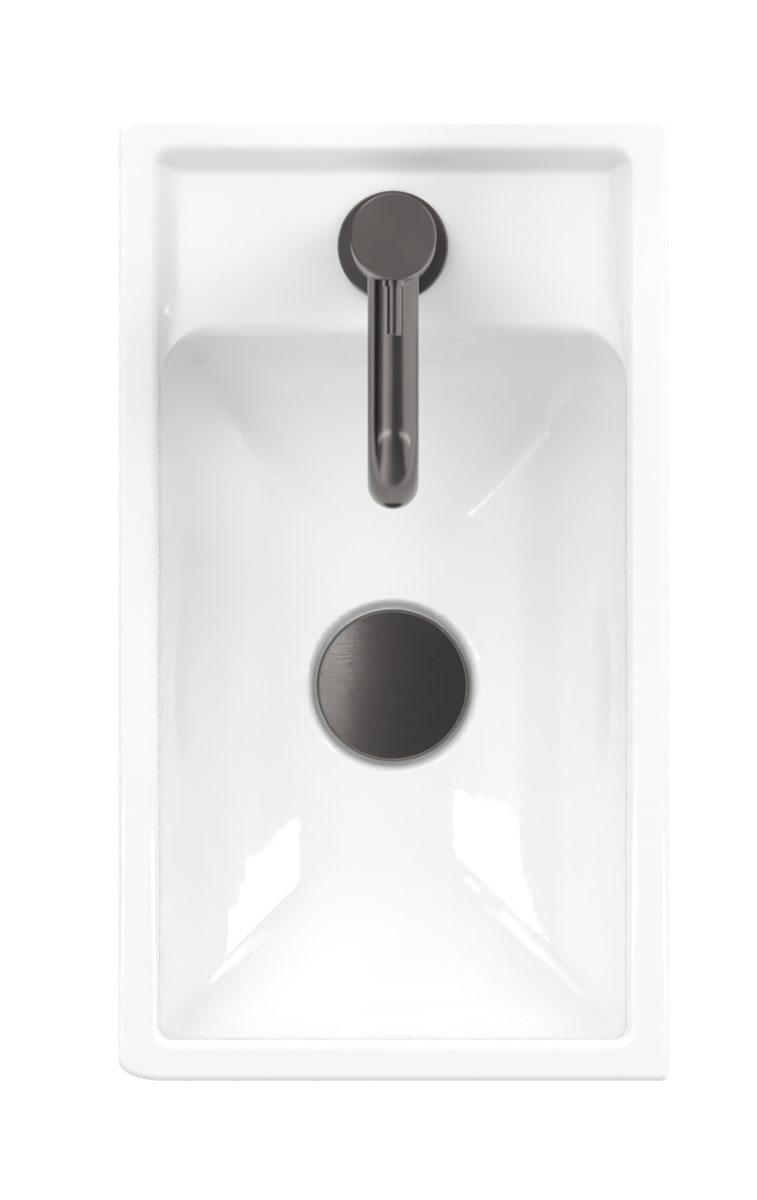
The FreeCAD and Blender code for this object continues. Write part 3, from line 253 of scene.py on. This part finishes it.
def platedPaint(paint, strokes, look):
    clouds = paint.noise(paint.place, platingLook["cloudScale"], detail=2)
    smoothest, roughest = look["roughness"]
    share = platingLook["strokeShare"]
    paint.feed(colour=paint.tinted(strokes * share + clouds * (1 - share), platingLook["dark"],
                                   platingLook["colour"]),
               metallic=1.0, roughness=paint.between(strokes, smoothest, roughest))
    paint.bump(strokes, look["depth"], platingLook["strokeStrength"])
    return paint.material


# plain stock with a fine grain: darkest and lightest colour, smoothest and roughest spot
stockLook = {
    "brass": {"colours": ((0.62, 0.47, 0.24), (0.72, 0.56, 0.3)), "roughness": (0.25, 0.4), "metallic": 1.0,
              "grainScale": 300},
    "steel": {"colours": ((0.5, 0.5, 0.5), (0.6, 0.6, 0.6)), "roughness": (0.25, 0.4), "metallic": 1.0,
              "grainScale": 300},
    "rubber": {"colours": ((0.012, 0.012, 0.012), (0.02, 0.02, 0.02)), "roughness": (0.55, 0.75),
               "metallic": 0.0, "grainScale": 600},
    "whitePlastic": {"colours": ((0.78, 0.78, 0.76), (0.84, 0.84, 0.82)), "roughness": (0.3, 0.42),
                     "metallic": 0.0, "grainScale": 600},
    "greyPlastic": {"colours": ((0.2, 0.21, 0.22), (0.25, 0.26, 0.27)), "roughness": (0.4, 0.55),
                    "metallic": 0.0, "grainScale": 600},
    "discCeramic": {"colours": ((0.8, 0.78, 0.74), (0.86, 0.84, 0.8)), "roughness": (0.1, 0.16),
                    "metallic": 0.0, "grainScale": 600},
}
grainLook = {"cloudScale": 60, "share": 0.5, "height": 0.00005, "strength": 0.3}


def stockPaint(name, look):
    paint = Paint(name)
    grain = paint.noise(paint.place, look["grainScale"], detail=4)
    clouds = paint.noise(paint.place, grainLook["cloudScale"], detail=2)
    smoothest, roughest = look["roughness"]
    share = grainLook["share"]
    paint.feed(colour=paint.tinted(grain * share + clouds * (1 - share), *look["colours"]),
               metallic=look["metallic"], roughness=paint.between(clouds, smoothest, roughest))
    paint.bump(grain, grainLook["height"], grainLook["strength"])
    return paint.material


paints = {"glaze": glazePaint()}
for name, look in brushedLook.items():
    paints[name] = brushedPaint(look)
for name, look in turnedLook.items():
    paints[name] = turnedPaint(look)
for name, look in stockLook.items():
    paints[name] = stockPaint(name, look)
slotPaint = {"glaze": "glaze", "gunmetal": "tapTurned", "brass": "brass", "steel": "steel",
             "rubber": "rubber", "white_plastic": "whitePlastic", "grey_plastic": "greyPlastic",
             "disc_ceramic": "discCeramic"}
nodePaint = {"spout": "lengthwise", "handle_knob": "knobTurned", "handle_lever": "lengthwise",
             "waste_cap": "across", "waste_body": "wasteTurned"}
slotOf = {part["node"]: part["material_slot"] for part in frame["record"]["subparts"]}
for name, node in frame["nodes"].items():
    node.data.materials.clear()
    node.data.materials.append(paints[nodePaint.get(name, slotPaint[slotOf[name]])])
print("finishes made")


# Pieces

# how near points lie that become one or count as on a cut, and the steepest bend that is shaded smooth
copyLook = {"mergeGap": 1e-6, "cutGap": 1e-7, "smoothAngle": 0.6}


def finishPiece(name, shape, node):
    # turns a shape into the piece that stands for a node of the part
    bmesh.ops.recalc_face_normals(shape, faces=shape.faces)
    for face in shape.faces:
        face.smooth = True
    for edge in shape.edges:
        edge.smooth = len(edge.link_faces) != 2 or edge.calc_face_angle() < copyLook["smoothAngle"]
    mesh = bpy.data.meshes.new(name)
    shape.to_mesh(mesh)
    shape.free()
    mesh.materials.append(frame["nodes"][node].data.materials[0])
    piece = bpy.data.objects.new(name, mesh)
    bpy.context.collection.objects.link(piece)
    weights = piece.modifiers.new("weights", "WEIGHTED_NORMAL")
    weights.keep_sharp = True
    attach(piece, frame["nodes"][node]["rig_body"])
    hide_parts(node)


def smoothCopy(name, node):
    shape = bmesh.new()
    shape.from_mesh(frame["nodes"][node].data)
    bmesh.ops.remove_doubles(shape, verts=shape.verts, dist=copyLook["mergeGap"])
    if node == "basin":
        evenBowl(shape)
        softRim(shape)
    finishPiece(name, shape, node)


def shareOf(value):
    # keeps a share within 0 and 1
    return min(max(value, 0), 1)


def eased(share):
    # a step from 0 to 1 that starts and ends level
    return share ** 2 * (3 - 2 * share)


def arcDrop(share):
    # how far a quarter round has fallen at a share of its width
    return 1 - math.sqrt(1 - share ** 2)


def cutCells(shape, faces, axis, low, high, cell):
    # cuts the faces by upright planes a cell apart
    geometry = list(faces)
    geometry += list({edge for face in faces for edge in face.edges})
    geometry += list({vertex for face in faces for vertex in face.verts})
    steps = int((high - low) / cell + 0.5)
    normal = Vector((axis == 0, axis == 1, 0))
    for step in range(steps + 1):
        place = normal * (low + step * cell)
        cut = bmesh.ops.bisect_plane(shape, geom=geometry, dist=copyLook["cutGap"], plane_co=place,
                                     plane_no=normal)
        geometry = cut["geom"]
    return [part for part in geometry if isinstance(part, bmesh.types.BMFace)]


# the bowl: an even floor that turns into coves of elliptic form, with a rolled brim round the waste;
# shares run from the floor's edge, 0, to the top of the coves, 1
bowlLook = {"top": ledgeLevel, "depth": 0.066, "floorHalf": 0.0171, "floorEnds": (-0.0199, 0.1026),
            "cove": 0.08, "backCove": 0.09, "corners": (0.006, 0.02), "cornerSpread": 4,
            "evenShare": 0.62, "asCastShare": 0.84, "slack": 0.004, "cell": 0.0025, "upright": 0.2}
# the recess round the waste: its wall and brim as cast, and the funnel that they become
recessLook = {"wall": 0.0335, "brim": 0.0355, "inner": 0.0321, "outer": 0.037, "still": 0.041,
              "depth": 0.0042, "wallTop": 0.004, "slack": 0.0001}


def bowlShare(x, y):
    cove = bowlLook["cove"]
    back, front = bowlLook["floorEnds"]
    side = abs(y - middleY) - bowlLook["floorHalf"]
    if x > wasteX:
        end = x - front
        widening = 0
    else:
        end = (back - x) * cove / bowlLook["backCove"]
        widening = shareOf((max(side, end) / cove - bowlLook["evenShare"]) * bowlLook["cornerSpread"])
    tight, wide = bowlLook["corners"]
    corner = tight + (wide - tight) * widening
    gap = abs(side - end)
    reach = max(side, end)
    if gap < corner:
        reach = (side + end + 2 * corner - math.sqrt(2 * corner ** 2 - gap ** 2)) / 2
    return shareOf(reach / cove)


def bowlHeight(share):
    return bowlLook["top"] - bowlLook["depth"] * math.sqrt(1 - share ** 2)


def wasteAway(place):
    return math.hypot(place.x - wasteX, place.y - middleY)


def nearBowl(place):
    share = bowlShare(place.x, place.y)
    clear = wasteAway(place) > recessLook["wall"] - recessLook["slack"] / 2
    return share < bowlLook["asCastShare"] and clear and abs(place.z - bowlHeight(share)) < bowlLook["slack"]


def setAway(place, away):
    # slides a place to another distance from the waste's axis
    scale = away / wasteAway(place)
    place.x = wasteX + (place.x - wasteX) * scale
    place.y = middleY + (place.y - middleY) * scale


def openBrim(place):
    # widens the rolled brim of the recess into a soft funnel; gives how far the place has sunk
    look = recessLook
    away = wasteAway(place)
    if away >= look["still"]:
        return 0
    if away >= look["brim"]:
        spread = (look["still"] - look["outer"]) / (look["still"] - look["brim"])
        setAway(place, look["outer"] + (away - look["brim"]) * spread)
        return 0
    inwards = min((look["brim"] - away) / (look["brim"] - look["wall"]), 1)
    setAway(place, look["outer"] - inwards * (look["outer"] - look["inner"]))
    return look["depth"] * eased(inwards)


def narrowWall(places):
    # draws the recess's upright wall in to the funnel's foot
    look = recessLook
    foot = bowlLook["top"] - bowlLook["depth"] - look["depth"]
    for place in places:
        onWall = abs(wasteAway(place) - look["wall"]) < 2 * look["slack"]
        if onWall and seatLevel - look["slack"] < place.z < look["wallTop"]:
            setAway(place, look["inner"])
            place.z = min(place.z, foot)


def evenBowl(shape):
    # draws the lower part of the bowl onto its even form
    asCast = bowlLook["asCastShare"]
    cell = bowlLook["cell"]
    faces = [face for face in shape.faces
             if face.normal.z > bowlLook["upright"] and nearBowl(face.calc_center_median())]
    reach = bowlLook["floorHalf"] + asCast * bowlLook["cove"]
    back, front = bowlLook["floorEnds"]
    low = back - asCast * bowlLook["backCove"]
    high = front + asCast * bowlLook["cove"]
    faces = cutCells(shape, faces, 0, low, high, cell)
    faces = cutCells(shape, faces, 1, middleY - reach, middleY + reach, cell)
    moved = {vertex for face in faces for vertex in face.verts}
    narrowWall([vertex.co for vertex in shape.verts if vertex not in moved])
    for vertex in moved:
        place = vertex.co
        sunk = openBrim(place)
        share = bowlShare(place.x, place.y)
        pull = shareOf((asCast - share) / (asCast - bowlLook["evenShare"]))
        place.z += (bowlHeight(share) - sunk - place.z) * pull


# the rim's inner edge: a wide roll above the bowl, and a soft step down to the ledge round the tap
rimLook = {"ends": (-0.1854, 0.1826), "half": 0.0971, "corner": 0.006, "roll": 0.0045, "lead": 0.004,
           "reach": 0.013, "ledgeEnds": (-0.128, -0.112), "cell": 0.001, "slack": 0.0001,
           "ledgeSlack": 0.0005, "overhang": -0.1}


def rimInside(place):
    # distance inwards from the rim's inner outline
    low, high = rimLook["ends"]
    corner = rimLook["corner"]
    end = min(place.x - low, high - place.x)
    side = rimLook["half"] - abs(place.y - middleY)
    if end < corner and side < corner:
        return corner - math.hypot(corner - end, corner - side)
    return min(end, side)


def nearRim(place):
    slack = rimLook["slack"]
    return -rimLook["roll"] - slack < rimInside(place) < rimLook["reach"] - rimLook["lead"] + slack


def onRim(face):
    # upper faces at rim or ledge level that reach into the strip along the inner outline
    high = min(vertex.co.z for vertex in face.verts) > ledgeLevel - rimLook["ledgeSlack"]
    upper = face.normal.z > rimLook["overhang"]
    return high and upper and any(nearRim(vertex.co) for vertex in face.verts)


def softHeight(place):
    # rolled over towards the bowl, stepped down towards the ledge, and blended between the two
    inside = rimInside(place)
    roll = rimLook["roll"]
    full, none = rimLook["ledgeEnds"]
    down = eased(shareOf((inside + rimLook["lead"]) / rimLook["reach"]))
    stepped = rimLevel - (rimLevel - ledgeLevel) * down
    rolled = min(place.z, rimLevel - roll * arcDrop(shareOf((inside + roll) / roll)))
    return rolled + (stepped - rolled) * shareOf((none - place.x) / (none - full))


def softRim(shape):
    cell = rimLook["cell"]
    low, high = rimLook["ends"]
    near = middleY - rimLook["half"]
    far = middleY + rimLook["half"]
    outwards = rimLook["lead"] + cell
    inwards = rimLook["reach"] - rimLook["lead"]
    faces = [face for face in shape.faces if onRim(face)]
    faces = cutCells(shape, faces, 0, low - outwards, low + inwards, cell)
    faces = cutCells(shape, faces, 0, high, high + outwards, cell)
    faces = cutCells(shape, faces, 1, near - outwards, near + inwards, cell)
    faces = cutCells(shape, faces, 1, far - inwards, far + outwards, cell)
    faces = cutCells(shape, faces, 0, *rimLook["ledgeEnds"], 2 * cell)
    moved = {vertex for face in faces for vertex in face.verts if nearRim(vertex.co)}
    for vertex in moved:
        vertex.co.z = softHeight(vertex.co)


copies = {"basin": "basinCeramic", "tap_body": "tapBody", "base_ring": "baseRing", "spout": "spoutTube",
          "handle_knob": "leverKnob", "handle_lever": "leverPin", "waste_cap": "wasteCap",
          "waste_body": "wasteTube", "aerator_housing": "nozzleShell", "waste_backnut": "backnut"}
for node, name in copies.items():
    smoothCopy(name, node)
print("pieces made")


# Camera, floor and light

viewLook = {"distance": 4.77, "frameHeight": 0.4979, "aimY": -0.1205, "filmWidth": 36, "farthest": 50}


def makeCamera():
    camera = bpy.data.objects.new("camera", bpy.data.cameras.new("camera"))
    bpy.context.collection.objects.link(camera)
    camera.data.sensor_width = viewLook["filmWidth"]
    camera.data.lens = viewLook["filmWidth"] * viewLook["distance"] / viewLook["frameHeight"]
    camera.data.clip_end = viewLook["farthest"]
    place = Matrix.Translation((0, viewLook["aimY"], rimLevel + viewLook["distance"]))
    facing = Matrix(((0, 1, 0), (-1, 0, 0), (0, 0, 1))).transposed().to_4x4()
    camera.matrix_world = place @ facing
    bpy.context.scene.camera = camera


# pale floor; what looks at it directly sees it lifted to the white of a photo studio
floorLook = {"level": -0.4, "half": 6, "tone": 0.9, "lift": 0.5, "roughness": 0.7}


def makeFloor():
    shape = bmesh.new()
    bmesh.ops.create_grid(shape, x_segments=1, y_segments=1, size=floorLook["half"])
    bmesh.ops.translate(shape, verts=shape.verts, vec=(0, 0, floorLook["level"]))
    mesh = bpy.data.meshes.new("floor")
    shape.to_mesh(mesh)
    shape.free()
    paint = Paint("floorPaint")
    tone = floorLook["tone"]
    seen = paint.sight("Is Camera Ray") + paint.sight("Is Glossy Ray") + paint.sight("Is Transmission Ray")
    glow = seen * floorLook["lift"]
    paint.feed(colour=(tone, tone, tone, 1), roughness=floorLook["roughness"], glowStrength=1.0,
               glow=paint.node("ShaderNodeCombineColor", {}, {0: glow, 1: glow, 2: glow}))
    mesh.materials.append(paint.material)
    floor = bpy.data.objects.new("floor", mesh)
    bpy.context.collection.objects.link(floor)


# each lamp shines from its place towards the bowl
lampAim = (0, -0.11, 0.02)
lampLook = {
    "keyLeft": {"place": (-1.5, -1.0, 1.3), "size": (1.3, 1.1), "power": 3.5},
    "keyHigh": {"place": (-0.95, -0.85, 1.9), "size": (1.0, 0.8), "power": 6.3},
    "keyWall": {"place": (-1.1, 0.95, 1.7), "size": (1.1, 0.9), "power": 5.6},
    "sideWall": {"place": (-0.8, 1.35, 1.3), "size": (0.8, 0.9), "power": 8},
    "capGlow": {"place": (-0.66, -0.8, 4.0), "size": (0.4, 0.35), "power": 2.2},
}
# narrow strips whose mirror images are the two leaves of light on the front coves:
# side of the bowl, angle from overhead, half the span of angles, x of the lit edge, width, turn
leafLook = {"distance": 1.2, "radiance": 4.2}
leaves = {
    "leafWallHigh": {"side": 1, "from": (-0.1645, 0.01), "angle": 42, "reach": 15, "edge": 0.128,
                     "width": 0.055, "turn": 2.6},
    "leafWallLow": {"side": 1, "from": (-0.1845, 0.03), "angle": 69, "reach": 13, "edge": 0.169,
                    "width": 0.055, "turn": 6.0},
    "leafFrontHigh": {"side": -1, "from": (-0.0795, 0.003), "angle": 27, "reach": 16.5, "edge": 0.106,
                      "width": 0.065, "turn": 1.4},
    "leafFrontLow": {"side": -1, "from": (-0.0565, 0.02), "angle": 56, "reach": 14, "edge": 0.165,
                     "width": 0.05, "turn": 7.2},
}


def makeLamp(name, place, facing, size, power):
    lamp = bpy.data.lights.new(name, "AREA")
    lamp.shape = "RECTANGLE"
    lamp.size, lamp.size_y = size
    lamp.energy = power
    holder = bpy.data.objects.new(name, lamp)
    bpy.context.collection.objects.link(holder)
    holder.matrix_world = Matrix.Translation(place) @ facing.to_4x4()


def makeLamps():
    for name, look in lampLook.items():
        line = Vector(lampAim) - Vector(look["place"])
        facing = line.to_track_quat("-Z", "Y").to_matrix()
        makeLamp(name, look["place"], facing, look["size"], look["power"])


def makeLeaves():
    distance = leafLook["distance"]
    for name, look in leaves.items():
        angle = math.radians(look["angle"])
        side = look["side"]
        startY, startZ = look["from"]
        place = Vector((look["edge"] + look["width"] / 2, startY + side * distance * math.sin(angle),
                        startZ + distance * math.cos(angle)))
        back = Vector((0, side * math.sin(angle), math.cos(angle)))
        across = Vector((1, 0, 0))
        along = back.cross(across)
        facing = Matrix((across, along, back)).transposed()
        facing = facing @ Matrix.Rotation(-math.radians(look["turn"]) * side, 3, "Z")
        length = 2 * distance * math.tan(math.radians(look["reach"]))
        power = leafLook["radiance"] * math.pi * look["width"] * length
        makeLamp(name, place, facing, (look["width"], length), power)


# radiance of the studio round the object: "sides" by the sine of the angle towards the wall side,
# "ends" by the sine of the angle away from the tap
worldLook = {
    "sides": ((-1.0, 0.05), (-0.94, 0.05), (-0.87, 0.28), (-0.76, 0.28), (-0.68, 1.45), (-0.5, 1.45),
              (-0.38, 0.9), (-0.2, 0.6), (-0.06, 0.36), (0.05, 0.24), (0.66, 0.14), (0.8, 1.1),
              (0.95, 1.1), (1.0, 1.3)),
    "ends": ((-1.0, 0.26), (-0.8, 0.26), (-0.25, 0.0), (0.4, 0.0), (0.9, 0.12), (1.0, 0.12)),
    "brightest": 2.0,
}


def worldRamp(maker, sine, bands):
    # a ramp's places and greys run from 0 to 1
    stops = [(place / 2 + 0.5, radiance / worldLook["brightest"]) for place, radiance in bands]
    return maker.node("ShaderNodeValToRGB", {"stops": stops}, {0: sine / 2 + 0.5})


def makeWorld():
    world = bpy.data.worlds.new("studio")
    bpy.context.scene.world = world
    world.use_nodes = True
    maker = Maker(world.node_tree)
    x, y = maker.axes(maker.node("ShaderNodeTexCoord", {}, {}, "Generated"))[:2]
    background = world.node_tree.nodes["Background"]
    light = worldRamp(maker, y, worldLook["sides"]) + worldRamp(maker, x, worldLook["ends"])
    maker.join(light, background.inputs["Color"])
    background.inputs["Strength"].default_value = worldLook["brightest"]


makeCamera()
makeFloor()
makeLamps()
makeLeaves()
makeWorld()
bpy.context.scene.view_settings.view_transform = "Standard"
print("camera, floor and lamps set")
